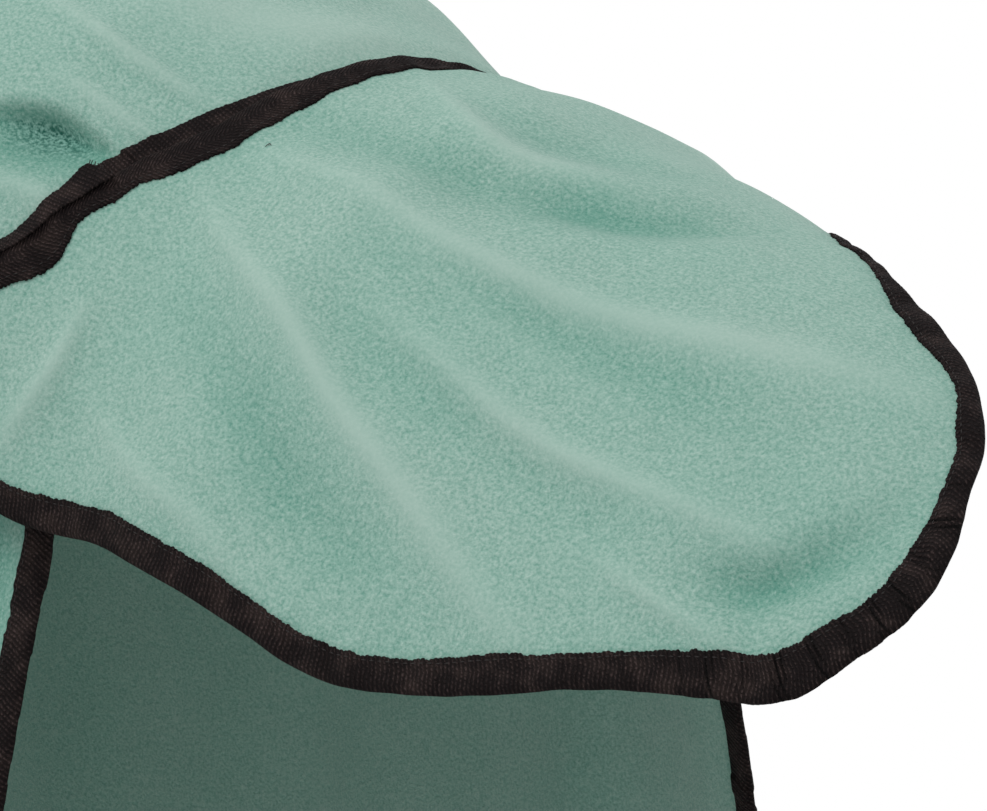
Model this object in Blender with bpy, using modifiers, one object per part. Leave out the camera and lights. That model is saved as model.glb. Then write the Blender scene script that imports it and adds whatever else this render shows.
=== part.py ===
"""Fleece horse rug with a tail flap, bound in webbing tape, in the shape that it takes on a horse.

Metres, +Z up. The tail end is toward +X, the horse's near (left) side toward -Y. The origin is the point
under the middle of the back where the horse carries the rug.

Every cloth piece is drawn flat, in cut coordinates: "along" runs back over the spine and is zero at the
root of the tail, "side" runs down from the spine, negative on the near side. drape() lays a cut point on
the worn shape.
"""

import math

import bmesh
import bpy
import numpy as np

FLEECE = 0.0024  # wall of the fleece
TAPE = 0.0008  # wall of the webbing tape
TAPE_SHOWS = 0.015  # folded tape seen on each face
CLEAR = 0.0005  # between a piece and the tape folded round it
FLAP_LIFT = 0.0030  # inner face of the flap above the body's outer face

BACK_POINT = -0.750  # along, where the back carries the rug
REAR_EDGE = 0.007  # along, rear edge of the body at the spine
REAR_EDGE_SIDE = -0.020  # along, the same edge on the thigh
WITHERS = -1.330  # along, top of the neckline
FRONT_EDGE = -1.745  # along, chest edges
NECK_DEPTH = 0.560  # side, bottom of the neckline
SIDE_DROP = 0.950  # side, hem
CORNER = 0.090  # rounding of the hem corners
THIGH_SIDE = 0.290  # side, where the rear edge reaches the thigh
BODY_ACROSS = 34  # mesh cells from hem to hem
BODY_ALONG = 28  # mesh cells from front to rear
SPINE_CROWD = 1.45  # above 1 for smaller cells near the spine
REAR_CROWD = 0.55  # share by which the cells shrink toward the rear

# Cross-sections of the worn shape, a row for each. height: of the spine. reach: how far down the side the
# cloth turns over. flat: above 1 for a broad top, below for a peaked one. hang: final slope in degrees.
SECTION_COLUMNS = ("along", "height", "reach", "flat", "hang")
SECTIONS = (
    (-1.760, 0.092, 0.026, 1.00, 88),
    (-1.690, 0.096, 0.062, 1.00, 88),
    (-1.600, 0.100, 0.112, 1.00, 88),
    (-1.480, 0.104, 0.160, 1.02, 88),
    (-1.340, 0.104, 0.188, 1.05, 88),
    (-1.200, 0.092, 0.200, 1.10, 88),
    (-1.000, 0.066, 0.212, 1.20, 88),
    (-0.750, 0.060, 0.214, 1.25, 88),
    (-0.500, 0.082, 0.208, 1.30, 88),
    (-0.300, 0.098, 0.205, 1.35, 88),
    (-0.180, 0.070, 0.200, 1.35, 88),
    (-0.100, 0.044, 0.190, 1.22, 87),
    (-0.050, 0.020, 0.178, 1.10, 86),
    (0.000, 0.000, 0.168, 1.02, 84),
    (0.030, -0.008, 0.166, 1.05, 82),
    (0.060, -0.015, 0.162, 1.12, 81),
    (0.100, -0.031, 0.153, 1.15, 79),
    (0.140, -0.042, 0.141, 1.12, 77),
    (0.180, -0.055, 0.130, 1.10, 75),
    (0.260, -0.080, 0.115, 1.10, 71),
    (0.330, -0.108, 0.105, 1.10, 68),
    (0.420, -0.146, 0.100, 1.10, 65),
)
PLUMB = 88.0  # slope in degrees that every section settles to lower down
PLUMB_FROM = 0.300
PLUMB_AT = 0.520
REAR_TUCK = 0.0030  # the body sinks this far under the flap along its rear edge
THIGH_TUCK = 0.0130  # and this much more on the thigh
CHEST_TURN = -1.250  # along, ahead of this the cloth also turns inwards to the chest

# The largest folds, a row for each: a soft ridge, or a trough where the height is negative.
FOLD_COLUMNS = ("along_a", "side_a", "along_b", "side_b", "width", "height")
FOLDS = (
    (0.002, -0.096, 0.328, -0.060, 0.020, 0.0050),
    (-0.011, -0.127, 0.229, -0.212, 0.020, 0.0050),
    (0.156, -0.134, 0.302, -0.136, 0.017, 0.0040),
    (-0.031, -0.194, -0.048, -0.254, 0.018, 0.0040),
    (-0.004, -0.078, 0.163, -0.025, 0.024, -0.0050),
    (0.028, -0.177, 0.174, -0.220, 0.020, -0.0040),
    (0.287, -0.163, 0.331, -0.125, 0.018, -0.0060),
    (0.016, -0.040, 0.006, 0.080, 0.016, -0.0035),
    (0.000, 0.120, 0.110, 0.110, 0.022, -0.0045),
    (-0.120, -0.160, -0.070, -0.142, 0.028, -0.0050),
    (-0.126, -0.101, -0.045, -0.090, 0.018, 0.0040),
    (-0.350, -0.420, -0.300, -0.900, 0.060, 0.0110),
    (-0.520, -0.480, -0.480, -0.900, 0.055, -0.0100),
    (-0.900, -0.450, -0.880, -0.900, 0.060, 0.0090),
    (-1.250, -0.400, -1.300, -0.850, 0.055, 0.0090),
    (-0.370, 0.440, -0.330, 0.900, 0.060, 0.0110),
    (-0.560, 0.460, -0.500, 0.900, 0.055, -0.0100),
    (-0.940, 0.430, -0.900, 0.900, 0.060, 0.0090),
    (-1.220, 0.420, -1.280, 0.870, 0.055, 0.0090),
)

# The flap's cut: its near edge, the round tip, and its far edge, each from the top edge backwards.
FLAP_EDGE_COLUMNS = ("along", "side")
FLAP_NEAR_EDGE = ((-0.140, -0.304), (-0.080, -0.291), (-0.020, -0.275), (0.040, -0.270), (0.106, -0.266),
                  (0.152, -0.263), (0.192, -0.248), (0.248, -0.222), (0.302, -0.197))
FLAP_FAR_EDGE = ((-0.097, 0.222), (-0.040, 0.200), (0.020, 0.172), (0.080, 0.134), (0.140, 0.090),
                 (0.200, 0.043), (0.246, 0.013), (0.283, -0.007), (0.306, -0.017))
TIP_CENTRE = (0.295, -0.110)
TIP_RADIUS = 0.082
TIP_NEAR_ANGLE = -66.0  # degrees from straight back
TIP_FAR_ANGLE = 66.0
FLAP_ACROSS = 15  # mesh cells along the top edge
FLAP_ALONG = 14  # mesh cells from the top edge to the tip
TOP_EDGE = -0.006  # along, the flap's top edge at the spine
TOP_EDGE_STRAIGHT = 0.055  # side, where the top edge starts to run forwards
TOP_EDGE_EASE = 0.030  # over which it does
TOP_EDGE_SLOPE = 0.540

SEAM_TAPE_WIDTH = 0.0075
SEAM_TAPE_AT_SPINE = 0.0035  # its width there, where it runs in under the flap's binding
SEAM_TAPE_JOINT = -0.153  # side, where the short length's raw end stands up
SEAM_TAPE_GAP = 0.004  # from there to the end of the long length
SEAM_TAPE_ENDS = 0.008  # each length stops this far inside the flap's corner
SEAM_TAPE_BEHIND = 0.0024  # its edge ahead of the flap's
SEAM_LIFT = 0.0008
RAW_END_RISE = 0.0045

STRAP_SIDE = 0.700  # side, middle of the chest strap
STRAP_WIDTH = 0.025
STRAP = 0.0016
STRAP_LIFT = 0.0018
STRAP_CLEARS_EDGE = 0.006
STRAP_SEWN_ON = -1.640  # along, the sewn end of each strap
BUCKLE = (0.011, 0.052, 0.034)  # depth, length across the chest, height
SLOT_DEPTH = 0.010
BUCKLE_AHEAD = 0.010  # of the chest edge


def clear_scene():
    for obj in list(bpy.data.objects):
        bpy.data.objects.remove(obj, do_unlink=True)


def material(name, colour, roughness, metallic=0.0):
    made = bpy.data.materials.new(name)
    made.use_nodes = True
    shader = made.node_tree.nodes["Principled BSDF"]
    shader.inputs["Base Color"].default_value = (*colour, 1.0)
    shader.inputs["Roughness"].default_value = roughness
    shader.inputs["Metallic"].default_value = metallic
    return made


def smooth_step(value):
    t = np.clip(value, 0.0, 1.0)
    return t * t * (3.0 - 2.0 * t)


def column(table, names, name):
    return np.array([row[names.index(name)] for row in table], float)


def through(knots, values, at):
    """A smooth curve through the values at the knots, read at the given places."""
    at = np.asarray(at, float)
    step = np.diff(knots)
    rise = np.diff(values) / step
    slope = np.empty_like(values)
    slope[0], slope[-1] = rise[0], rise[-1]
    slope[1:-1] = (rise[:-1] * step[1:] + rise[1:] * step[:-1]) / (step[1:] + step[:-1])
    i = np.clip(np.searchsorted(knots, at, side="right") - 1, 0, len(knots) - 2)
    t = (at - knots[i]) / step[i]
    return (
        (2 * t**3 - 3 * t**2 + 1) * values[i]
        + (t**3 - 2 * t**2 + t) * step[i] * slope[i]
        + (3 * t**2 - 2 * t**3) * values[i + 1]
        + (t**3 - t**2) * step[i] * slope[i + 1]
    )


def section_curve(side, reach, flat, hang):
    """How far out and how far down the cloth lies after running this far down the side."""
    steps = 40
    walked = np.abs(side)[..., None] * (np.arange(steps) + 0.5) / steps
    low = smooth_step((walked - PLUMB_FROM) / (PLUMB_AT - PLUMB_FROM))
    hang = hang[..., None] * (1.0 - low) + PLUMB * low
    slope = np.radians(hang) * (1.0 - np.exp(-((walked / reach[..., None]) ** flat[..., None])))
    length = np.abs(side) / steps
    return np.sign(side) * np.cos(slope).sum(-1) * length, np.sin(slope).sum(-1) * length


def spine_places():
    """Where each section stands along X, so that the cut distance between sections is kept."""
    along = column(SECTIONS, SECTION_COLUMNS, "along")
    height = column(SECTIONS, SECTION_COLUMNS, "height")
    reach, flat, hang = (column(SECTIONS, SECTION_COLUMNS, name) for name in ("reach", "flat", "hang"))
    spread, _ = section_curve(np.full(len(along), SIDE_DROP), reach, flat, hang)
    step = np.diff(along) ** 2 - np.diff(height) ** 2
    step -= np.where(along[:-1] < CHEST_TURN, np.diff(spread) ** 2, 0.0)
    place = np.concatenate([[0.0], np.cumsum(np.sqrt(np.maximum(step, 0.05 * np.diff(along) ** 2)))])
    return place - through(along, place, BACK_POINT)


SECTION_ALONG = column(SECTIONS, SECTION_COLUMNS, "along")
SECTION_PLACE = spine_places()
BACK_HEIGHT = float(through(SECTION_ALONG, column(SECTIONS, SECTION_COLUMNS, "height"), BACK_POINT))


def fold_height(along, side):
    height = np.zeros(np.broadcast(along, side).shape)
    for along_a, side_a, along_b, side_b, width, rise in FOLDS:
        run = np.array([along_b - along_a, side_b - side_a])
        t = np.clip(((along - along_a) * run[0] + (side - side_a) * run[1]) / (run @ run), 0.0, 1.0)
        away = (along - along_a - t * run[0]) ** 2 + (side - side_a - t * run[1]) ** 2
        height += rise * np.exp(-away / width**2) * np.sin(math.pi * (0.12 + 0.76 * t))
    return height


def smooth_drape(along, side):
    along, side = np.broadcast_arrays(np.asarray(along, float), np.asarray(side, float))
    height, reach, flat, hang = (
        through(SECTION_ALONG, column(SECTIONS, SECTION_COLUMNS, name), along)
        for name in ("height", "reach", "flat", "hang")
    )
    out, down = section_curve(side, reach, flat, hang)
    place = through(SECTION_ALONG, SECTION_PLACE, along)
    return np.stack([place, out, height - down - BACK_HEIGHT + FLEECE], -1)


def outward(along, side):
    nudge = 0.002
    back = smooth_drape(along + nudge, side) - smooth_drape(along - nudge, side)
    down = smooth_drape(along, side + nudge) - smooth_drape(along, side - nudge)
    normal = np.cross(back, down)
    return normal / np.linalg.norm(normal, axis=-1)[..., None]


def drape(along, side, lift=0.0):
    """The worn place of a cut point, moved out from the body's outer face by lift."""
    along, side = np.broadcast_arrays(np.asarray(along, float), np.asarray(side, float))
    move = fold_height(along, side) + lift
    return smooth_drape(along, side) + outward(along, side) * np.asarray(move)[..., None]


def body_tuck(along, side):
    """How far the body sinks under the flap: a little all along its rear edge, more on the thigh."""
    away = np.abs(side)
    rear = smooth_step((along - REAR_EDGE_SIDE + 0.012) / 0.026)
    thigh = smooth_step((away - 0.225) / 0.075) * smooth_step((along + 0.150) / 0.120)
    low = smooth_step((0.800 - away) / 0.400)
    return REAR_TUCK * rear + THIGH_TUCK * thigh * low


def flap_top(side):
    """Along, the flap's top edge at this side."""
    past = np.abs(side) - TOP_EDGE_STRAIGHT
    return TOP_EDGE - TOP_EDGE_SLOPE * 0.5 * (past + np.sqrt(past**2 + TOP_EDGE_EASE**2))


def spaced(points, count):
    """The polyline read at count + 1 even places."""
    points = np.asarray(points, float)
    length = np.concatenate([[0.0], np.cumsum(np.linalg.norm(np.diff(points, axis=0), axis=1))])
    share = np.linspace(0.0, 1.0, count + 1)
    return np.stack([np.interp(share * length[-1], length, points[:, k]) for k in range(2)], -1)


def smooth_line(points, samples=80):
    """A smooth curve through a few cut points."""
    points = np.asarray(points, float)
    length = np.concatenate([[0.0], np.cumsum(np.linalg.norm(np.diff(points, axis=0), axis=1))])
    at = np.linspace(0.0, length[-1], samples)
    return np.stack([through(length, points[:, k], at) for k in range(2)], -1)


def inset(loop, width):
    """The closed loop moved inwards (outwards where width is negative) in the cut plane."""
    ahead = np.roll(loop, -1, axis=0) - loop
    ahead /= np.linalg.norm(ahead, axis=1)[:, None]
    behind = np.roll(ahead, 1, axis=0)
    left = np.stack([-ahead[:, 1], ahead[:, 0]], -1)
    left_behind = np.stack([-behind[:, 1], behind[:, 0]], -1)
    middle = left + left_behind
    middle /= np.linalg.norm(middle, axis=1)[:, None]
    mitre = np.clip((middle * left).sum(1), 0.6, 1.0)
    return loop + middle * (width / mitre)[:, None]


class Panel:
    """A cut piece: its edge loop, the same loop moved in by the tape's width, and a grid inside."""

    def __init__(self, near, rear, far, front):
        """Four sides as cut points, run round in turn and sharing their corners."""
        self.loop = np.concatenate([near[:-1], rear[:-1], far[:-1], front[:-1]])
        self.inner = inset(self.loop, TAPE_SHOWS)
        count = len(self.loop)
        cells, rows = len(near) - 1, len(rear) - 1
        number = np.full((cells + 1, rows + 1), -1)
        number[:, 0] = np.arange(cells + 1)
        number[cells, :] = cells + np.arange(rows + 1)
        number[::-1, rows] = cells + rows + np.arange(cells + 1)
        number[0, ::-1] = (2 * cells + rows + np.arange(rows + 1)) % count
        inside = self.filled(number)[1:-1, 1:-1].reshape(-1, 2)
        number[1:-1, 1:-1] = count + np.arange(len(inside)).reshape(cells - 1, rows - 1)
        self.points = np.concatenate([self.inner, inside, self.loop])
        edge = count + len(inside)
        self.faces = [
            (number[i, j], number[i + 1, j], number[i + 1, j + 1], number[i, j + 1])
            for i in range(cells)
            for j in range(rows)
        ]
        self.faces += [(edge + i, edge + (i + 1) % count, (i + 1) % count, i) for i in range(count)]

    def filled(self, number):
        """A smooth grid between the four sides of the inner loop."""
        near, far = self.inner[number[:, 0]][:, None], self.inner[number[:, -1]][:, None]
        front, rear = self.inner[number[0, :]][None], self.inner[number[-1, :]][None]
        length = np.linalg.norm(np.diff(front[0], axis=0), axis=1)
        across = np.concatenate([[0.0], np.cumsum(length)])[None, :, None] / length.sum()
        along = np.linspace(0.0, 1.0, len(number))[:, None, None]
        grid = (1 - across) * near + across * far + (1 - along) * front + along * rear
        grid -= (1 - along) * ((1 - across) * near[0] + across * far[0])
        return grid - along * ((1 - across) * near[-1] + across * far[-1])


def halves(quads, turned=False):
    """Each four-sided face as two triangles, split across its first corner or, turned, its second."""
    if turned:
        return [face for a, b, c, d in quads for face in ((a, b, d), (b, c, d))]
    return [face for a, b, c, d in quads for face in ((a, b, c), (a, c, d))]


def add_object(name, points, faces, collection, finish):
    mesh = bpy.data.meshes.new(name)
    mesh.from_pydata([tuple(map(float, point)) for point in points], [], [tuple(map(int, f)) for f in faces])
    built = bmesh.new()
    built.from_mesh(mesh)
    bmesh.ops.recalc_face_normals(built, faces=built.faces)
    built.to_mesh(mesh)
    built.free()
    mesh.materials.append(finish)
    obj = bpy.data.objects.new(name, mesh)
    collection.objects.link(obj)
    return obj


def body_sides():
    """The body's near hem, rear edge, far hem and front, with more points near the spine and the rear."""
    share = np.linspace(-1.0, 1.0, BODY_ACROSS + 1)
    side = SIDE_DROP * np.sign(share) * np.abs(share) ** SPINE_CROWD
    neck = smooth_step(np.abs(side) / NECK_DEPTH * 0.5 + 0.5) * 2.0 - 1.0
    front_along = WITHERS + (FRONT_EDGE - WITHERS) * np.minimum(neck, 1.0)
    rear_along = REAR_EDGE + (REAR_EDGE_SIDE - REAR_EDGE) * smooth_step(np.abs(side) / THIGH_SIDE)
    share = np.linspace(0.0, 1.0, BODY_ALONG + 1)
    share = (1.0 - REAR_CROWD) * share + REAR_CROWD * (1.0 - (1.0 - share) ** 1.8)
    hem_along = FRONT_EDGE + (REAR_EDGE_SIDE - FRONT_EDGE) * share
    hem_side = np.full(len(hem_along), SIDE_DROP)
    near_hem = np.stack([hem_along, -hem_side], -1)
    rear = np.stack([rear_along, side], -1)
    far_hem = np.stack([hem_along, hem_side], -1)
    front = np.stack([front_along, side], -1)
    return [rounded(line) for line in (near_hem, rear, far_hem[::-1], front[::-1])]


def rounded(line):
    """The hem corners eased to a round."""
    line = line.copy()
    from_hem = SIDE_DROP - np.abs(line[:, 1])
    give = (1.0 - 1.0 / math.sqrt(2.0)) * CORNER
    for away, push in ((line[:, 0] - FRONT_EDGE, 1.0), (REAR_EDGE_SIDE - line[:, 0], -1.0)):
        near = np.clip(1.0 - np.maximum(away, 0.0) / CORNER, 0.0, 1.0)
        near *= np.clip(1.0 - from_hem / CORNER, 0.0, 1.0)
        line[:, 0] += push * give * near**1.5
        line[:, 1] -= np.sign(line[:, 1]) * give * near**1.5
    return line


def flap_sides():
    """The flap's near edge, tip, far edge and top edge."""
    top_side = np.linspace(FLAP_NEAR_EDGE[0][1], FLAP_FAR_EDGE[0][1], 61)
    top = np.stack([flap_top(top_side), top_side], -1)
    top[0], top[-1] = FLAP_NEAR_EDGE[0], FLAP_FAR_EDGE[0]
    angle = np.radians(np.linspace(TIP_NEAR_ANGLE, TIP_FAR_ANGLE, 33))
    arc = np.array(TIP_CENTRE) + TIP_RADIUS * np.stack([np.cos(angle), np.sin(angle)], -1)
    cut = len(arc) // 4
    near = np.concatenate([smooth_line(FLAP_NEAR_EDGE), arc[1 : cut + 1]])
    far = np.concatenate([smooth_line(FLAP_FAR_EDGE), arc[::-1][1 : cut + 1]])
    tip = arc[cut : len(arc) - cut]
    sides = [
        spaced(near, FLAP_ALONG),
        spaced(tip, FLAP_ACROSS),
        spaced(far, FLAP_ALONG)[::-1],
        spaced(top, FLAP_ACROSS)[::-1],
    ]
    for i in range(4):
        sides[i][-1] = sides[(i + 1) % 4][0]
    return sides


def make_panel(name, panel, lift, collection, finish):
    """The cloth wall: its outer face, the same face moved in by the fleece, and the cut edge between."""
    along, side = panel.points.T
    top = drape(along, side, lift(panel.points))
    under = drape(along, side, lift(panel.points) - FLEECE)
    size, count = len(top), len(panel.loop)
    first = size - count
    rim = [(first + i, first + (i + 1) % count) for i in range(count)]
    faces = halves(panel.faces)
    faces += [tuple(size + corner for corner in face[::-1]) for face in halves(panel.faces)]
    faces += halves([(b, a, size + a, size + b) for a, b in rim])
    add_object(name, np.concatenate([top, under]), faces, collection, finish)


def make_binding(name, panel, lift, collection, finish):
    """Tape folded round the panel's edge: a U-section carried round the loop."""
    fold, back_of_fold = inset(panel.loop, -CLEAR), inset(panel.loop, -CLEAR - TAPE)
    outer, under = CLEAR, -FLEECE - CLEAR
    rails = (
        (panel.inner, outer + TAPE),
        (back_of_fold, outer + TAPE),
        (back_of_fold, under - TAPE),
        (panel.inner, under - TAPE),
        (panel.inner, under),
        (fold, under),
        (fold, outer),
        (panel.inner, outer),
    )
    turned = (2, 6)
    points = np.concatenate([drape(cut[:, 0], cut[:, 1], lift(cut) + move) for cut, move in rails])
    count = len(panel.loop)
    faces = []
    for rail in range(len(rails)):
        this, following = rail * count, (rail + 1) % len(rails) * count
        band = [
            (following + i, following + (i + 1) % count, this + (i + 1) % count, this + i)
            for i in range(count)
        ]
        faces += halves(band, rail in turned)
    add_object(name, points, faces, collection, finish)


def make_strip(name, rails, collection, finish):
    """A flat length from its four long edges, run round its section."""
    count = len(rails[0])
    faces = []
    for rail in range(4):
        this, following = rail * count, (rail + 1) % 4 * count
        band = [(this + i, this + i + 1, following + i + 1, following + i) for i in range(count - 1)]
        faces += halves(band)
    faces += halves([tuple(rail * count for rail in range(4))])
    faces += halves([tuple(rail * count + count - 1 for rail in range(4))])
    add_object(name, np.concatenate(rails), faces, collection, finish)


def laid_strip(edge_a, edge_b, lift, thickness):
    """The four long edges of a strip laid on the cloth between two lines of cut points."""
    low_a, low_b = (drape(*edge, lift) for edge in (edge_a, edge_b))
    high_a, high_b = (drape(*edge, lift + thickness) for edge in (edge_a, edge_b))
    return [low_a, low_b, high_b, high_a]


def seam_strip(side_from, side_to, count, rise):
    """A seam tape that lies on the body just ahead of the flap's bound top edge."""
    side = np.linspace(side_from, side_to, count)
    by_flap = flap_top(side) - SEAM_TAPE_BEHIND
    out = smooth_step(np.abs(side) / TOP_EDGE_STRAIGHT - 1.0)
    width = SEAM_TAPE_AT_SPINE + (SEAM_TAPE_WIDTH - SEAM_TAPE_AT_SPINE) * out
    return laid_strip((by_flap - width, side), (by_flap, side), SEAM_LIFT + rise, TAPE)


def make_seam_tapes(collection, finish):
    far_side = FLAP_FAR_EDGE[0][1] - SEAM_TAPE_ENDS
    near_side = FLAP_NEAR_EDGE[0][1] + SEAM_TAPE_ENDS
    long_strip = seam_strip(SEAM_TAPE_JOINT + SEAM_TAPE_GAP, far_side, 22, 0.0)
    make_strip("seam_tape_long", long_strip, collection, finish)
    rise = RAW_END_RISE * smooth_step(np.linspace(-3.0, 1.0, 10))
    short_strip = seam_strip(near_side, SEAM_TAPE_JOINT, 10, rise)
    make_strip("seam_tape_short", short_strip, collection, finish)


def buckle_centre():
    edge = drape(FRONT_EDGE, STRAP_SIDE, STRAP_LIFT)
    return np.array([edge[0] - BUCKLE_AHEAD, 0.0, edge[2]])


def make_strap(name, sign, collection, finish):
    """A chest strap: sewn on the front, past its edge, then across into the buckle."""
    along = np.linspace(STRAP_SEWN_ON, FRONT_EDGE - STRAP_CLEARS_EDGE, 7)
    low, high = (np.full(len(along), sign * (STRAP_SIDE + way * STRAP_WIDTH / 2)) for way in (1, -1))
    rails = laid_strip((along, low), (along, high), STRAP_LIFT, STRAP)
    centre = buckle_centre()
    ends = sign * np.array([BUCKLE[1] / 2 + 0.006, BUCKLE[1] / 2 - SLOT_DEPTH + CLEAR])
    finished = []
    for rail, way, face in zip(rails, (-1, 1, 1, -1), (1, 1, -1, -1)):
        across = [
            (centre[0] + face * STRAP / 2, end, centre[2] + way * STRAP_WIDTH / 2)
            for end in ends
        ]
        finished.append(np.concatenate([rail, across]))
    make_strip(name, finished, collection, finish)


def make_buckle_half(name, sign, collection, finish):
    """Half of a two-part buckle: a block with rounded edges and a slot that takes the strap."""
    centre = buckle_centre()
    length = BUCKLE[1] / 2 - 0.00015
    middle = (centre[0], sign * (length / 2 + 0.00015), centre[2])
    bpy.ops.mesh.primitive_cube_add(size=1.0, location=middle)
    block = bpy.context.object
    block.name = name
    block.scale = (BUCKLE[0], length, BUCKLE[2])
    bpy.ops.object.transform_apply(location=False, rotation=False, scale=True)
    block.data.materials.append(finish)
    edges = block.modifiers.new("Edges", "BEVEL")
    edges.width = 0.0022
    edges.segments = 2
    slot_middle = (centre[0], sign * (BUCKLE[1] / 2 - SLOT_DEPTH / 2 + 0.002), centre[2])
    bpy.ops.mesh.primitive_cube_add(size=1.0, location=slot_middle)
    slot = bpy.context.object
    slot.name = name + "_slot"
    slot.scale = (STRAP + 4 * CLEAR, SLOT_DEPTH + 0.004, STRAP_WIDTH + 2 * CLEAR)
    bpy.ops.object.transform_apply(location=False, rotation=False, scale=True)
    slot.hide_render = True
    slot.display_type = "WIRE"
    cut = block.modifiers.new("Slot", "BOOLEAN")
    cut.operation = "DIFFERENCE"
    cut.object = slot
    for obj, home in ((block, collection), (slot, bpy.data.collections["Cutters"])):
        for other in list(obj.users_collection):
            other.objects.unlink(obj)
        home.objects.link(obj)


def main():
    clear_scene()
    parts = bpy.data.collections.new("Horse rug")
    cutters = bpy.data.collections.new("Cutters")
    for collection in (parts, cutters):
        bpy.context.scene.collection.children.link(collection)
    fleece = material("Mint fleece", (0.245, 0.445, 0.382), 0.95)
    webbing = material("Black webbing tape", (0.018, 0.017, 0.016), 0.62)
    plastic = material("Black plastic", (0.020, 0.020, 0.021), 0.40)

    body = Panel(*body_sides())
    flap = Panel(*flap_sides())

    def body_lift(points):
        return -body_tuck(points[:, 0], points[:, 1])

    def flap_lift(points):
        return np.full(len(points), FLAP_LIFT + FLEECE)

    make_panel("body", body, body_lift, parts, fleece)
    make_panel("tail_flap", flap, flap_lift, parts, fleece)
    make_binding("body_binding", body, body_lift, parts, webbing)
    make_binding("flap_binding", flap, flap_lift, parts, webbing)
    make_seam_tapes(parts, webbing)
    make_strap("chest_strap_near", -1.0, parts, webbing)
    make_strap("chest_strap_far", 1.0, parts, webbing)
    make_buckle_half("buckle_near", -1.0, parts, plastic)
    make_buckle_half("buckle_far", 1.0, parts, plastic)


main()
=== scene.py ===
import math

import bpy
import numpy as np
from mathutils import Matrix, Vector


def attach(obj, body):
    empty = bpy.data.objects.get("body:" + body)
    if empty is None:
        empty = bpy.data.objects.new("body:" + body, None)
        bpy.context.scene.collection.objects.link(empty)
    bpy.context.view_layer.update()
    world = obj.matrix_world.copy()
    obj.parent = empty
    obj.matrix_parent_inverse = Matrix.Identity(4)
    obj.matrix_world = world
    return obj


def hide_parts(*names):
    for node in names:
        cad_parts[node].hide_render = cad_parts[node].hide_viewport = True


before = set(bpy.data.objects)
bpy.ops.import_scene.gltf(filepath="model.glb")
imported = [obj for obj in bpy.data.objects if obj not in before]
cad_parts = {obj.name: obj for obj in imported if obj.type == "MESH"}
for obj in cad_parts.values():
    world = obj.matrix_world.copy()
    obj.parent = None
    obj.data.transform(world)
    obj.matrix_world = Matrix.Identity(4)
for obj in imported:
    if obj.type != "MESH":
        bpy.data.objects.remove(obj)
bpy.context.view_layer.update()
print("stage: frame loaded")


# Cloth is drawn flat in cut coordinates, in metres: along runs back over the spine from the root of
# the tail, side runs down from the spine, negative on the near side. drape() lays it on the back.

rug = dict(fleece=0.0024, backPoint=-0.75, rearEdge=0.007, rearEdgeThigh=-0.024, thighSide=0.29,
           withers=-1.33, frontEdge=-1.745, neckDepth=0.56, sideDrop=0.95, corner=0.09,
           plumb=88.0, plumbFrom=0.3, plumbAt=0.52, chestTurn=-1.25)

# The section across the back at each place along, lengths in millimetres: the spine's height, how far out
# the back rounds over and how flat it is on top, and the angle at which the side hangs, in degrees.
sectionColumns = ("along", "height", "reach", "flat", "hang")
sectionUnits = (1000.0, 1000.0, 1000.0, 1.0, 1.0)
sections = (
    (-1760, 92, 26, 1.0, 88),
    (-1690, 96, 62, 1.0, 88),
    (-1600, 100, 112, 1.0, 88),
    (-1480, 104, 160, 1.02, 88),
    (-1340, 104, 188, 1.05, 88),
    (-1200, 92, 200, 1.1, 88),
    (-1000, 66, 212, 1.2, 88),
    (-750, 60, 214, 1.25, 88),
    (-500, 82, 208, 1.3, 88),
    (-300, 98, 205, 1.35, 88),
    (-180, 70, 200, 1.35, 88),
    (-100, 44, 190, 1.22, 87),
    (-50, 20, 178, 1.1, 86),
    (0, 0, 168, 1.02, 84),
    (30, -8, 166, 1.05, 82),
    (60, -15, 162, 1.12, 81),
    (100, -31, 153, 1.15, 79),
    (140, -42, 141, 1.12, 77),
    (180, -55, 130, 1.1, 75),
    (260, -80, 115, 1.1, 71),
    (330, -108, 105, 1.1, 68),
    (420, -146, 100, 1.1, 65),
)

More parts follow.
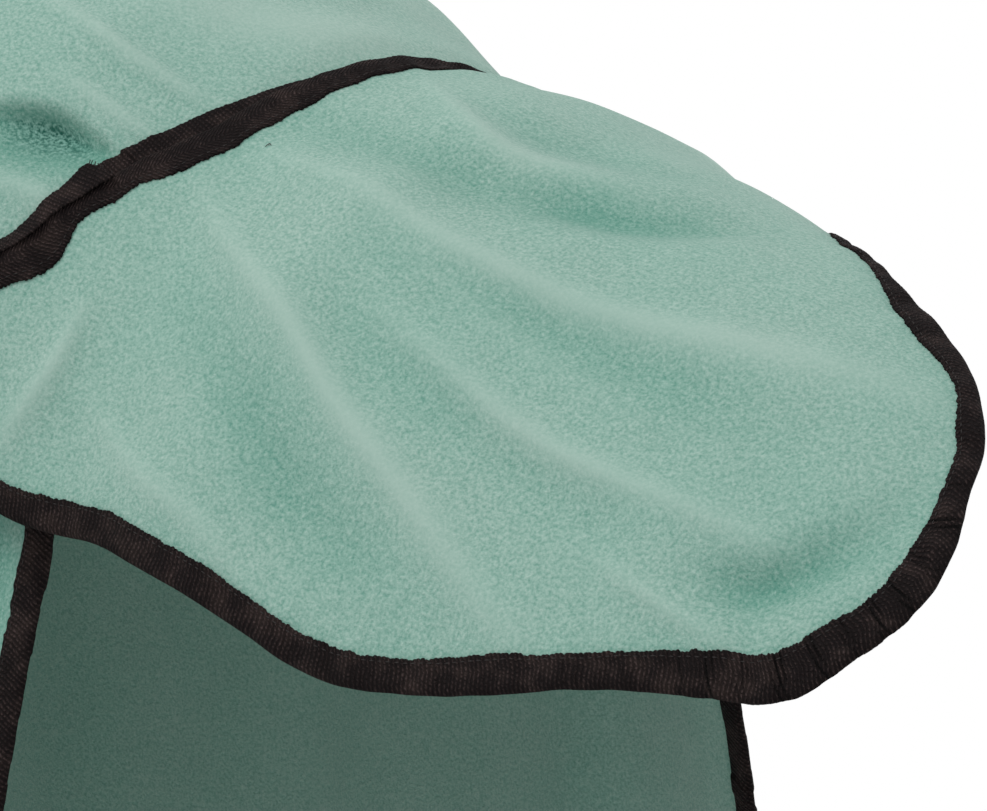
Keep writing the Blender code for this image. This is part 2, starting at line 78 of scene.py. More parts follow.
# In millimetres. Each fold runs through three cut points, with a width at its two ends. A tenth number is
# how far it leans to one side. A ridge has a narrow crest. A negative height is a trough, which is rounder.
foldColumns = ("alongA", "sideA", "alongB", "sideB", "alongC", "sideC", "wideA", "wideC", "height")
folds = (
    # ridges that fan out from the seam over the flap
    (24, -26, 83, -45, 150, -26, 8, 14, 4.2),
    (6, -98, 180, -94, 334, -46, 9, 20, 5.6),
    (106, -138, 209, -149, 318, -134, 12, 10, 4.4),
    (-10, -129, 104, -176, 232, -222, 10, 18, 5.8),
    (236, -176, 276, -178, 314, -175, 8, 7, 3),
    (-14, -222, 40, -242, 112, -258, 9, 12, 3),
    (-32, -192, -34, -224, -49, -266, 7, 10, 4.2),
    (60, -104, 150, -118, 230, -122, 8, 10, 1.4),
    # troughs between them
    (50, -32, 100, -20, 150, 8, 12, 16, -3),
    (0, -77, 110, -62, 196, -10, 11, 18, -4.6),
    (122, -56, 160, -45, 194, -14, 9, 10, -3.2),
    (80, -116, 190, -106, 288, -100, 13, 17, -3.4),
    (16, -172, 92, -211, 158, -230, 14, 18, -4),
    (70, -142, 155, -159, 244, -166, 10, 12, -2.4),
    (286, -161, 312, -149, 337, -119, 9, 10, -6.1),
    (322, -130, 342, -108, 350, -78, 10, 12, -2.8),
    (4, -8, -2, 46, -24, 120, 8, 12, -8.5),
    # the far side of the flap
    (26, -10, 24, 40, 6, 100, 8, 12, -1.2),
    (10, 120, 60, 90, 110, 66, 14, 18, 4),
    (-30, 165, 20, 140, 60, 118, 12, 14, -4),
    # the body ahead of the seam
    (-122, -166, -90, -145.5, -60, -137.5, 15, 6.5, -11.5, 0.72),
    (-136, -106, -85, -103, -36, -91, 7, 6, 4.4),
    (-100, -131, -70, -125, -46, -120, 8, 6, 3.6),
    (-112, -190, -82, -176, -60, -172, 12, 9, 4),
    (-64, -272, -58, -315, -68, -375, 18, 20, -8.5),
    (-120, -80, -50, -36, -24, 10, 40, 34, 4),
    (-140, 150, -100, 130, -60, 120, 14, 10, -6),
    (-170, 100, -100, 92, -50, 84, 16, 10, 2.3),
)

# Soft hanging folds on the sides, which add only faint painted highlight and shade to the nap.
sideFolds = (
    (-350, -420, -330, -640, -300, -930, 40, 65, 12, 0.2),
    (-500, -470, -500, -680, -470, -930, 35, 55, -10),
    (-680, -520, -670, -740, -640, -930, 30, 50, 8, -0.2),
    (-900, -440, -890, -660, -880, -930, 40, 60, 10, 0.2),
    (-1060, -500, -1080, -700, -1080, -930, 30, 50, -8),
    (-1250, -380, -1280, -600, -1310, -900, 35, 60, 10, 0.2),
    (-1420, -300, -1480, -520, -1520, -800, 25, 50, 7),
    (-160, -400, -150, -560, -130, -800, 25, 45, -7),
    (-370, 440, -360, 650, -320, 930, 40, 60, 11.5, -0.2),
    (-550, 450, -540, 680, -500, 930, 35, 55, -10),
    (-740, 500, -720, 720, -700, 930, 30, 50, 7.5),
    (-940, 430, -930, 650, -900, 930, 40, 60, 10, -0.2),
    (-1100, 480, -1110, 700, -1120, 930, 30, 50, -8),
    (-1220, 380, -1270, 620, -1300, 900, 35, 60, 10),
    (-1430, 300, -1480, 540, -1530, 800, 25, 50, 7),
    (-170, 400, -160, 560, -140, 800, 25, 45, -7),
)


def metres(millimetres):
    return np.array(millimetres) / 1000.0


def paired(along, side):
    return np.broadcast_arrays(np.asarray(along, float), np.asarray(side, float))


def smoothStep(value):
    t = np.clip(value, 0.0, 1.0)
    return t * t * (3.0 - 2.0 * t)


def through(knots, values, at):
    at = np.asarray(at, float)
    step = np.diff(knots)
    rise = np.diff(values) / step
    slope = np.empty(len(values))
    slope[0], slope[-1] = rise[0], rise[-1]
    slope[1:-1] = (rise[:-1] * step[1:] + rise[1:] * step[:-1]) / (step[1:] + step[:-1])
    i = np.clip(np.searchsorted(knots, at, side="right") - 1, 0, len(knots) - 2)
    t = (at - knots[i]) / step[i]
    return ((2 * t**3 - 3 * t**2 + 1) * values[i] + (t**3 - 2 * t**2 + t) * step[i] * slope[i]
            + (3 * t**2 - 2 * t**3) * values[i + 1] + (t**3 - t**2) * step[i] * slope[i + 1])


sectionTable = dict(zip(sectionColumns, np.array(sections).T / np.array([sectionUnits]).T))


def sectionCurve(side, reach, flat, hang):
    steps = 40
    walked = np.abs(side)[..., None] * (np.arange(steps) + 0.5) / steps
    low = smoothStep((walked - rug["plumbFrom"]) / (rug["plumbAt"] - rug["plumbFrom"]))
    hang = hang[..., None] * (1.0 - low) + rug["plumb"] * low
    slope = np.radians(hang) * (1.0 - np.exp(-((walked / reach[..., None]) ** flat[..., None])))
    length = np.abs(side) / steps
    return np.sign(side) * np.cos(slope).sum(-1) * length, np.sin(slope).sum(-1) * length


def sectionPlaces():
    along, height = sectionTable["along"], sectionTable["height"]
    reach, flat, hang = (sectionTable[name] for name in ("reach", "flat", "hang"))
    spread, _ = sectionCurve(np.full(len(along), rug["sideDrop"]), reach, flat, hang)
    step = np.diff(along) ** 2 - np.diff(height) ** 2
    step -= np.where(along[:-1] < rug["chestTurn"], np.diff(spread) ** 2, 0.0)
    place = np.concatenate([[0.0], np.cumsum(np.sqrt(np.maximum(step, 0.05 * np.diff(along) ** 2)))])
    return place - through(along, place, rug["backPoint"])


sectionPlace = sectionPlaces()
backHeight = float(through(sectionTable["along"], sectionTable["height"], rug["backPoint"]))


def smoothDrape(along, side):
    along, side = paired(along, side)
    height, reach, flat, hang = (through(sectionTable["along"], sectionTable[name], along)
                                 for name in ("height", "reach", "flat", "hang"))
    out, down = sectionCurve(side, reach, flat, hang)
    place = through(sectionTable["along"], sectionPlace, along)
    return np.stack([place, out, height - down - backHeight + rug["fleece"]], -1)


def outward(along, side):
    nudge = 0.002
    back = smoothDrape(along + nudge, side) - smoothDrape(along - nudge, side)
    down = smoothDrape(along, side + nudge) - smoothDrape(along, side - nudge)
    normal = np.cross(back, down)
    return normal / np.linalg.norm(normal, axis=-1)[..., None]


# A fold's ends taper, and a fold on the sides adds far less painted highlight and shade to the nap than one
# on the flap does.
foldLook = dict(steps=25, reach=4, taper=0.8, sideTint=0.12, sharp=1.5, round=0.3, crestShare=0.5,
                fullRidge=0.005, fullTrough=0.0058, mostTrough=2.2)


# The height of the folds at these cut points, and how much of a crest and of a trough they lie in, which the
# fleece's colour turns into painted highlight and painted shade.
def foldTotals(along, side):
    along, side = paired(along, side)
    p, q = along.ravel(), side.ravel()
    totals = np.zeros((3, len(p)))
    knots = np.array([0.0, 0.5, 1.0])
    t = np.linspace(0.0, 1.0, foldLook["steps"])
    for row in folds + sideFolds:
        f = {name: value / 1000.0 for name, value in zip(foldColumns, row)}
        lean = row[9] if len(row) > 9 else 0.0
        tint = foldLook["sideTint"] if row in sideFolds else 1.0
        line = np.stack([through(knots, metres(row[k:6:2]), t) for k in (0, 1)], -1)
        reach = foldLook["reach"] * max(f["wideA"], f["wideC"])
        near = ((p > line[:, 0].min() - reach) & (p < line[:, 0].max() + reach)
                & (q > line[:, 1].min() - reach) & (q < line[:, 1].max() + reach))
        if not near.any():
            continue
        best = np.full(near.sum(), 9.0)
        at, turn = np.zeros(near.sum()), np.zeros(near.sum())
        for i in range(len(t) - 1):
            run = line[i + 1] - line[i]
            dp, dq = p[near] - line[i, 0], q[near] - line[i, 1]
            u = np.clip((dp * run[0] + dq * run[1]) / (run @ run), 0.0, 1.0)
            away = np.hypot(dp - u * run[0], dq - u * run[1])
            closer = away < best
            best = np.where(closer, away, best)
            at = np.where(closer, t[i] + u * t[1], at)
            turn = np.where(closer, np.sign(dp * run[1] - dq * run[0]), turn)
        wide = (f["wideA"] + (f["wideC"] - f["wideA"]) * at) * (1.0 + lean * turn)
        taper = np.sin(math.pi * (0.06 + 0.88 * at)) ** foldLook["taper"]
        if f["height"] > 0:
            blunt = np.sqrt((best / wide) ** 2 + foldLook["round"] ** 2) - foldLook["round"]
            profile = np.exp(-foldLook["sharp"] * blunt)
            crest = np.exp(-((best / (foldLook["crestShare"] * wide)) ** 2))
            totals[1, near] += tint * taper * crest * min(f["height"] / foldLook["fullRidge"], 1.0)
        else:
            profile = np.exp(-((best / wide) ** 2))
            depth = min((-f["height"] / foldLook["fullTrough"]) ** 1.5, foldLook["mostTrough"])
            totals[2, near] += tint * taper * profile * depth
        totals[0, near] += f["height"] * taper * profile
    return totals.reshape(3, *along.shape)


def drape(along, side, lift=0.0):
    along, side = paired(along, side)
    move = foldTotals(along, side)[0] + lift
    return smoothDrape(along, side) + outward(along, side) * np.asarray(move)[..., None]


# The body sinks under the flap along its rear edge, and further on the thigh.
tuck = dict(rear=0.003, rearFrom=0.012, rearOver=0.026, thigh=0.013, thighSide=0.225, thighOver=0.075,
            thighAhead=0.15, thighAheadOver=0.12, goneSide=0.8, goneOver=0.4)


def bodyLift(along, side):
    away = np.abs(side)
    rear = smoothStep((along - rug["rearEdgeThigh"] + tuck["rearFrom"]) / tuck["rearOver"])
    thigh = (smoothStep((away - tuck["thighSide"]) / tuck["thighOver"])
             * smoothStep((along + tuck["thighAhead"]) / tuck["thighAheadOver"]))
    low = smoothStep((tuck["goneSide"] - away) / tuck["goneOver"])
    return -(tuck["rear"] * rear + tuck["thigh"] * thigh * low)


def lengths(points):
    return np.concatenate([[0.0], np.cumsum(np.linalg.norm(np.diff(points, axis=0), axis=1))])


def spaced(points, count, share=None):
    points = np.asarray(points, float)
    length = lengths(points)
    at = (np.linspace(0.0, 1.0, count + 1) if share is None else share) * length[-1]
    return np.stack([np.interp(at, length, points[:, k]) for k in range(points.shape[1])], -1)


def smoothLine(points, samples=400):
    points = np.asarray(points, float)
    length = lengths(points)
    at = np.linspace(0.0, length[-1], samples)
    return np.stack([through(length, points[:, k], at) for k in range(2)], -1)


# Two lines that meet at a corner, shortened and joined by a round of about this radius.
def rounded(lineA, lineB, radius):
    corner = lineA[-1]
    lengthA, lengthB = lengths(lineA), lengths(lineB)
    wayA = lineA[np.searchsorted(lengthA, lengthA[-1] - radius)] - corner
    wayB = lineB[np.searchsorted(lengthB, radius)] - corner
    angle = math.acos(np.clip(wayA @ wayB / np.linalg.norm(wayA) / np.linalg.norm(wayB), -1.0, 1.0))
    cut = radius / math.tan(angle / 2.0)
    keepA = lineA[lengthA < lengthA[-1] - cut]
    keepB = lineB[lengthB > cut]
    t = np.linspace(0.0, 1.0, 41)[1:-1, None]
    blend = (1 - t) ** 2 * keepA[-1] + 2 * t * (1 - t) * corner + t**2 * keepB[0]
    half = len(blend) // 2
    return np.concatenate([keepA, blend[:half + 1]]), np.concatenate([blend[half:], keepB])


def inset(loop, width):
    ahead = np.roll(loop, -1, axis=0) - np.roll(loop, 1, axis=0)
    ahead /= np.linalg.norm(ahead, axis=1)[:, None]
    return loop + np.stack([-ahead[:, 1], ahead[:, 0]], -1) * np.asarray(width)[..., None]


# The flap's cut. Each edge runs from its corner by the seam back to the round tip, in millimetres. The tip's
# angles are in degrees from straight back. lift: its inner face above the body's outer face.
flapCut = dict(
    nearEdge=((-80, -292), (-34, -281), (10, -269), (60, -272.5), (105, -269.5),
              (124, -270.5), (144, -268.5), (180, -255), (224, -235.5), (274, -210),
              (316, -190.5), (333, -182.5), (346, -171), (356, -156.5)),
    farEdge=((-40, 202), (20, 176), (85, 142), (140, 98), (172, 66), (193, 42.5),
             (204, 30.5), (214, 22), (235, 12), (260, 0), (287, -9.5),
             (315, -22), (337, -37.5), (352, -52.5)),
    nearCorner=-0.304, farCorner=0.222, cornerRound=0.016, tipCentre=(0.3145, -0.1095), tipRadius=0.059,
    tipFrom=-34.0, tipTo=32.0, lift=0.003)
# The flap's top edge, where it is sewn on: rows of (side, along) in millimetres.
flapTopLine = ((-320, -137), (-304, -129), (-250, -103), (-212, -85), (-195, -74.5),
               (-172, -64), (-133, -43), (-100, -25.5), (-81, -20), (-44, -9),
               (-10, -3.5), (30, -6.5), (55, -11.5), (100, -29), (150, -52.5),
               (200, -77.5), (240, -97))


def flapTop(side):
    knots, values = metres(flapTopLine).T
    return through(knots, values, side)


def flapSides():
    topSide = np.linspace(flapCut["nearCorner"], flapCut["farCorner"], 900)
    top = np.stack([flapTop(topSide), topSide], -1)
    angle = np.radians(np.linspace(flapCut["tipFrom"], flapCut["tipTo"], 201))
    arc = flapCut["tipRadius"] * np.stack([np.cos(angle), np.sin(angle)], -1) + flapCut["tipCentre"]
    quarter = 3 * (len(arc) // 12)
    near = smoothLine((top[0], *metres(flapCut["nearEdge"]), *arc[:quarter + 1:quarter // 3]))
    far = smoothLine((top[-1], *metres(flapCut["farEdge"]), *arc[::-1][:quarter + 1:quarter // 3]))[::-1]
    tip = arc[quarter:len(arc) - quarter]
    top = top[::-1]
    far, top = rounded(far, top, flapCut["cornerRound"])
    top, near = rounded(top, near, flapCut["cornerRound"])
    return near, tip, far, top


def bodySides():
    drop, front, rear = rug["sideDrop"], rug["frontEdge"], rug["rearEdgeThigh"]
    side = np.linspace(-drop, drop, 2401)
    neck = smoothStep(np.abs(side) / rug["neckDepth"] * 0.5 + 0.5) * 2.0 - 1.0
    frontAlong = rug["withers"] + (front - rug["withers"]) * np.minimum(neck, 1.0)
    rearAlong = rug["rearEdge"] + (rear - rug["rearEdge"]) * smoothStep(np.abs(side) / rug["thighSide"])
    hemAlong = np.linspace(front, rear, 2000)
    near = np.stack([hemAlong, np.full(2000, -drop)], -1)
    far = np.stack([hemAlong, np.full(2000, drop)], -1)[::-1]
    back = np.stack([rearAlong, side], -1)
    head = np.stack([frontAlong, side], -1)[::-1]
    sides = [near, back, far, head]
    for i, j in ((0, 1), (1, 2), (2, 3), (3, 0)):
        sides[i], sides[j] = rounded(sides[i], sides[j], rug["corner"])
    return sides


# Shares from 0 to 1 that lie closer together round each of the places.
def crowded(count, places, strength, spread):
    t = np.linspace(0.0, 1.0, 4001)
    weight = np.ones(len(t))
    for place in places:
        weight += strength * np.exp(-((t - place) / spread) ** 2)
    total = np.concatenate([[0.0], np.cumsum(0.5 * (weight[1:] + weight[:-1]))])
    return np.interp(np.linspace(0.0, 1.0, count + 1), total / total[-1], t)


# A grid of cut points that fills the piece between its four sides.
def panelGrid(sides, alongShare, acrossShare):
    near, rear, far, front = sides
    near, far = spaced(near, 0, alongShare)[:, None], spaced(far, 0, 1.0 - alongShare)[:, None]
    rear, front = spaced(rear, 0, acrossShare)[None], spaced(front, 0, 1.0 - acrossShare)[None]
    across, along = acrossShare[None, :, None], alongShare[:, None, None]
    grid = (1 - across) * near + across * far + (1 - along) * front + along * rear
    grid = grid - (1 - along) * ((1 - across) * near[0] + across * far[0])
    return grid - along * ((1 - across) * near[-1] + across * far[-1])


def linked(name, data):
    obj = bpy.data.objects.new(name, data)
    bpy.context.scene.collection.objects.link(obj)
    return obj


def meshObject(name, points, faces, finish):
    mesh = bpy.data.meshes.new(name)
    mesh.vertices.add(len(points))
    mesh.vertices.foreach_set("co", np.asarray(points, np.float32).ravel())
    faces = np.asarray(faces, np.int32)
    mesh.loops.add(faces.size)
    mesh.loops.foreach_set("vertex_index", faces.ravel())
    mesh.polygons.add(len(faces))
    mesh.polygons.foreach_set("loop_start", np.arange(0, faces.size, faces.shape[1], dtype=np.int32))
    mesh.polygons.foreach_set("loop_total", np.full(len(faces), faces.shape[1], np.int32))
    mesh.update(calc_edges=True)
    mesh.validate()
    mesh.shade_smooth()
    mesh.materials.append(finish)
    return linked(name, mesh)


def gridFaces(rows, columns, closedRows=False, closedColumns=False):
    i = np.arange(rows if closedRows else rows - 1)
    j = np.arange(columns if closedColumns else columns - 1)
    i, j = (k.ravel() for k in np.meshgrid(i, j, indexing="ij"))
    a, b = i * columns + j, (i + 1) % rows * columns + j
    c, d = (i + 1) % rows * columns + (j + 1) % columns, i * columns + (j + 1) % columns
    return np.stack([a, b, c, d], -1)


def pointValue(obj, name, values):
    made = obj.data.attributes.new(name, "FLOAT", "POINT")
    made.data.foreach_set("value", np.asarray(values, np.float32).ravel())


def loopUv(obj, uv):
    layer = obj.data.uv_layers.new(name="cloth")
    index = np.empty(len(obj.data.loops), np.int32)
    obj.data.loops.foreach_get("vertex_index", index)
    layer.data.foreach_set("uv", np.asarray(uv, np.float32)[index].ravel())


# Faces of two grids one above the other, closed round their edge.
def layeredFaces(rows, columns):
    top = gridFaces(rows, columns)
    index = np.arange(rows * columns).reshape(rows, columns)
    edge = np.concatenate([index[:-1, 0], index[-1, :-1], index[:0:-1, -1], index[0, :0:-1]])
    ahead, under = np.roll(edge, -1), rows * columns
    rim = np.stack([ahead, edge, edge + under, ahead + under], -1)
    return np.concatenate([top, top[:, ::-1] + under, rim])


# A material, with short ways to add and link its nodes.
class Finish:
    def __init__(self, name):
        self.material = bpy.data.materials.new(name)
        self.material.use_nodes = True
        self.nodes = self.material.node_tree.nodes
        self.links = self.material.node_tree.links
        self.shader = self.nodes["Principled BSDF"]
        self.place = self.add("TexCoord").outputs["Object"]

    def fill(self, socket, value):
        if hasattr(value, "links"):
            self.links.new(value, socket)
        else:
            socket.default_value = value

    def add(self, kind, inputs=None, **settings):
        node = self.nodes.new("ShaderNode" + kind)
        for key, value in settings.items():
            setattr(node, key, value)
        for key, value in (inputs or {}).items():
            self.fill(node.inputs[key], value)
        return node

    def math(self, operation, a, b=0.0, c=0.0):
        return self.add("Math", {0: a, 1: b, 2: c}, operation=operation).outputs[0]

    def mix(self, factor, a, b):
        return self.add("Mix", {0: factor, 6: a, 7: b}, data_type="RGBA").outputs[2]

    def ramp(self, value, low, high):
        return self.add("MapRange", {"Value": value, "From Min": low, "From Max": high}).outputs[0]

    def noise(self, scale, detail, roughness=0.5):
        given = {"Vector": self.place, "Scale": scale, "Detail": detail, "Roughness": roughness}
        return self.add("TexNoise", given).outputs[0]

    def wave(self, scale, distortion, direction):
        given = {"Vector": self.place, "Scale": scale, "Distortion": distortion, "Detail": 2.0}
        return self.add("TexWave", given, bands_direction=direction, wave_profile="SIN").outputs["Fac"]

    def measure(self, name, low, high):
        return self.ramp(self.add("Attribute", attribute_name=name).outputs["Fac"], low, high)

    def bump(self, strength, distance, height):
        given = {"Strength": strength, "Distance": distance, "Height": height}
        return self.add("Bump", given).outputs[0]

    def set(self, **values):
        for key, value in values.items():
            self.fill(self.shader.inputs[key.replace("_", " ")], value)


# Brushed nap. Painted highlight makes the fold crests pale and painted shade darkens the troughs, most of
# all in the deep hollows. The nap is smoother on the crests, and its tufts show least there and most in the
# hollows.
def fleeceFinish():
    look = dict(napPerMetre=700.0, finePerMetre=2000.0, driftPerMetre=16.0, napDepth=0.001,
                crest=(0.35, 0.445, 0.4, 1), base=(0.252, 0.4, 0.344, 1),
                trough=(0.105, 0.27, 0.215, 1), deep=(0.06, 0.215, 0.165, 1),
                grain=(0.46, 0.58, 0.53, 1), hollow=(0.1, 0.275, 0.225, 1),
                hollowDeep=(0.01, 0.085, 0.062, 1), hollowGrain=(0.22, 0.42, 0.36, 1),
                sheen=(0.85, 1.0, 0.94, 1))
    f = Finish("mint fleece")
    nap = f.noise(look["napPerMetre"], 3.0, 0.62)
    fine = f.noise(look["finePerMetre"], 2.0, 0.6)
    drift = f.noise(look["driftPerMetre"], 4.0, 0.6)
    crest, trough = f.measure("crest", 0.0, 1.0), f.measure("trough", 0.0, 1.0)
    hollow = f.measure("trough", 1.0, foldLook["mostTrough"])
    # painted shade: the fold troughs darker, the deep hollows darker still
    colour = f.mix(f.math("MULTIPLY", trough, 0.85), look["base"], look["trough"])
    colour = f.mix(hollow, colour, look["hollow"])
    colour = f.mix(f.math("MULTIPLY", f.ramp(drift, 0.35, 0.7), 0.25), colour, look["crest"])
    # painted highlight: the fold crests paler
    colour = f.mix(f.math("MULTIPLY", crest, 0.36), colour, look["crest"])
    # the shaded side of the tufts
    speckle = f.math("MULTIPLY_ADD", trough, 0.3, f.math("MULTIPLY_ADD", crest, -0.56, 0.62))
    speckle = f.math("MULTIPLY_ADD", hollow, 0.7, speckle)
    shaded = f.math("MULTIPLY", f.ramp(nap, 0.58, 0.3), speckle)
    colour = f.mix(shaded, colour, f.mix(hollow, look["deep"], look["hollowDeep"]))
    # their lit tips
    lit = f.math("MULTIPLY", f.ramp(nap, 0.58, 0.8), f.math("MULTIPLY_ADD", crest, -0.3, 0.45))
    lit = f.math("MULTIPLY", lit, f.math("MULTIPLY_ADD", hollow, 1.2, 1.0))
    colour = f.mix(lit, colour, f.mix(hollow, look["grain"], look["hollowGrain"]))
    bump = f.bump(f.math("MULTIPLY_ADD", crest, -0.44, 0.6), look["napDepth"],
                  f.math("MULTIPLY_ADD", fine, 0.35, nap))
    f.set(Base_Color=colour, Roughness=1.0, Sheen_Weight=0.3, Sheen_Roughness=0.5,
          Sheen_Tint=look["sheen"], Normal=bump, Specular_IOR_Level=0.1)
    return f.material


# Ribbed twill tape: slanting ribs, each a row of short floats set half a step on from its neighbours.
def tapeFinish():
    look = dict(ribsPerMetre=480.0, weftPerMetre=560.0, fuzzPerMetre=1300.0, loosePerMetre=330.0,
                wearPerMetre=75.0, ribDepth=0.0009, base=(0.0058, 0.004, 0.0042, 1),
                pale=(0.068, 0.047, 0.045, 1), worn=(0.024, 0.0165, 0.0145, 1),
                crease=(0.0012, 0.001, 0.001, 1))
    f = Finish("black webbing tape")
    parts = f.add("SeparateXYZ", {0: f.add("UVMap", uv_map="cloth").outputs[0]})
    fuzz = f.noise(look["fuzzPerMetre"], 3.0, 0.7)
    loose = f.noise(look["loosePerMetre"], 2.0, 0.6)
    wear = f.noise(look["wearPerMetre"], 4.0, 0.6)
    stray = f.math("MULTIPLY_ADD", fuzz, 3.0, f.math("MULTIPLY_ADD", loose, 4.0, -3.5))
    along = f.math("MULTIPLY_ADD", parts.outputs[0], look["ribsPerMetre"] * 2.0 * math.pi, stray)
    across = f.math("MULTIPLY_ADD", parts.outputs[1], look["weftPerMetre"] * 2.0 * math.pi,
                    f.math("MULTIPLY", loose, 8.0))
    rib = f.math("MULTIPLY_ADD", f.math("SINE", along), 0.5, 0.5)
    brick = f.math("ADD", across, f.math("MULTIPLY", along, 0.5))
    weft = f.math("MULTIPLY_ADD", f.math("SINE", brick), 0.5, 0.5)
    raised = f.math("MULTIPLY", rib, f.math("MULTIPLY_ADD", weft, 0.7, 0.3))
    lit = f.math("MULTIPLY", f.ramp(raised, 0.1, 0.9), f.ramp(fuzz, 0.36, 0.62))
    lit = f.math("MULTIPLY", lit, f.math("MULTIPLY_ADD", f.ramp(wear, 0.4, 0.62), 0.9, 0.35))
    colour = f.mix(f.math("MULTIPLY", f.ramp(wear, 0.48, 0.7), 0.75), look["base"], look["worn"])
    colour = f.mix(lit, colour, look["pale"])
    # painted shade darkens the creases of the gathers
    colour = f.mix(f.math("MULTIPLY", f.measure("creaseShade", 0.08, 0.45), 0.92), colour, look["crease"])
    bump = f.bump(1.0, look["ribDepth"], f.math("MULTIPLY_ADD", fuzz, 0.55, raised))
    f.set(Base_Color=colour, Roughness=0.75, Specular_IOR_Level=0.08, Normal=bump)
    return f.material


def plasticFinish():
    look = dict(grainPerMetre=900.0, grainDepth=0.0003, colour=(0.02, 0.02, 0.021, 1))
    f = Finish("black plastic")
    grain = f.noise(look["grainPerMetre"], 2.0)
    f.set(Base_Color=look["colour"], Roughness=f.ramp(grain, -0.2, 2.4),
          Normal=f.bump(0.15, look["grainDepth"], grain))
    return f.material


def strapFinish():
    look = dict(fuzzPerMetre=1200.0, ribScale=210.0, pickScale=150.0, depth=0.0006,
                low=(0.006, 0.005, 0.005, 1), high=(0.05, 0.042, 0.04, 1))
    f = Finish("black strap webbing")
    fuzz = f.noise(look["fuzzPerMetre"], 3.0)
    ribs = f.wave(look["ribScale"], 1.2, "Z")
    picks = f.wave(look["pickScale"], 1.0, "Y")
    woven = f.math("MULTIPLY", ribs, f.math("MULTIPLY_ADD", picks, 0.6, 0.4))
    colour = f.mix(f.math("MULTIPLY", woven, f.ramp(fuzz, 0.3, 0.7)), look["low"], look["high"])
    f.set(Base_Color=colour, Roughness=0.7, Specular_IOR_Level=0.15,
          Normal=f.bump(0.8, look["depth"], f.math("MULTIPLY_ADD", fuzz, 0.3, woven)))
    return f.material


def threadFinish():
    look = dict(twistPerMetre=2600.0, depth=0.0002, low=(0.006, 0.005, 0.005, 1),
                high=(0.034, 0.029, 0.028, 1))
    f = Finish("black thread")
    twist = f.noise(look["twistPerMetre"], 2.0)
    f.set(Base_Color=f.mix(f.ramp(twist, 0.3, 0.7), look["low"], look["high"]), Roughness=0.55,
          Specular_IOR_Level=0.25, Normal=f.bump(0.5, look["depth"], twist))
    return f.material


fleece, webbing, plastic = fleeceFinish(), tapeFinish(), plasticFinish()
strapping, thread = strapFinish(), threadFinish()
print("stage: finishes made")


# A value that changes smoothly along a run, from rows of (run, value) in millimetres.
def table(rows):
    rows = metres(rows)
    return lambda run: through(rows[:, 0], rows[:, 1], np.clip(run, rows[0, 0], rows[-1, 0]))


# Rows for a value that is the same all round a piece.
def steady(value):
    return ((0, value), (9000, value))


# How the surface of the fleece gives by its tape, its slight unevenness elsewhere, and the painted shadow
# that darkens the fleece beside the tape's edge.
surface = dict(pucker=0.0005, longPucker=0.033, shortPucker=0.021, puckerFade=0.011, rollWidth=0.017,
               uneven=0.0005, pressed=0.0009, pressedFrom=0.0015, pressedOver=0.002,
               shadeFade=0.004, shadeTrough=0.35, shadeCrest=0.6)


# A piece's outline and what follows it: puckers where the tape's stitching draws up the fleece, and the
# roll of its edge. A run is the distance round the piece from its near front corner.
class Around:
    def __init__(self, sides, tapeShows, rolls, gathers):
        self.sides = sides
        self.tapeShows, self.rolls, self.gathers = table(tapeShows), table(rolls), table(gathers)
        self.loop = np.concatenate([spaced(side, 220)[:-1] for side in sides])
        self.run = lengths(np.concatenate([self.loop, self.loop[:1]]))[:-1]

    # The distance from the edge and the run of the nearest point on it, a batch at a time.
    def nearest(self, along, side):
        batch = 20000
        flat = np.stack([np.ravel(along), np.ravel(side)], -1)
        distance, at = np.empty(len(flat)), np.empty(len(flat))
        for start in range(0, len(flat), batch):
            part = flat[start:start + batch]
            away = np.hypot(*(part[:, None, k] - self.loop[None, :, k] for k in (0, 1)))
            best = away.argmin(1)
            distance[start:start + batch] = away[np.arange(len(part)), best]
            at[start:start + batch] = self.run[best]
        return distance.reshape(np.shape(along)), at.reshape(np.shape(along))

    # The puckers, the roll and a slight unevenness, so that no stretch of fleece is perfectly smooth.
    def small(self, along, side):
        distance, at = self.nearest(along, side)
        wave = (np.sin(at * 2 * math.pi / surface["shortPucker"] + 2.0 * np.sin(at * 23.0)) * 0.6
                + np.sin(at * 2 * math.pi / surface["longPucker"] + 1.3 * np.sin(at * 11.0)) * 0.4)
        fade = np.exp(-np.maximum(distance - self.tapeShows(at), 0.0) / surface["puckerFade"])
        pucker = surface["pucker"] * wave * fade
        roll = self.rolls(at) * np.exp(-((distance / surface["rollWidth"]) ** 2))
        uneven = (np.sin(along * 61.0 + 1.7 * np.sin(side * 37.0)) * np.sin(side * 53.0 + 1.3)
                  + 0.6 * np.sin(along * 109.0 + side * 71.0) * np.sin(side * 97.0 - along * 43.0))
        return pucker - roll + surface["uneven"] * uneven


def makeFleece(name, around, alongShare, acrossShare, lift):
    grid = panelGrid(around.sides, alongShare, acrossShare)
    along, side = grid[..., 0], grid[..., 1]
    distance, at = around.nearest(along, side)
    inside = around.tapeShows(at) - surface["pressedFrom"] - distance
    pressed = surface["pressed"] * smoothStep(inside / surface["pressedOver"])
    level = lift(along, side) + around.small(along, side)
    layers = np.stack([drape(along, side, level - pressed), drape(along, side, level - rug["fleece"])])
    obj = meshObject(name, layers.reshape(-1, 3), layeredFaces(*grid.shape[:2]), fleece)
    _, crest, trough = foldTotals(along, side)
    # painted shadow beside the tape's edge: less crest highlight and more trough shade there
    shade = np.exp(-np.maximum(distance - around.tapeShows(at), 0.0) / surface["shadeFade"])
    pointValue(obj, "crest", np.tile((crest * (1.0 - surface["shadeCrest"] * shade)).ravel(), 2))
    pointValue(obj, "trough", np.tile((trough + surface["shadeTrough"] * shade).ravel(), 2))
    return obj


def flapLift(along, side):
    return np.full(np.shape(along), flapCut["lift"] + rug["fleece"])


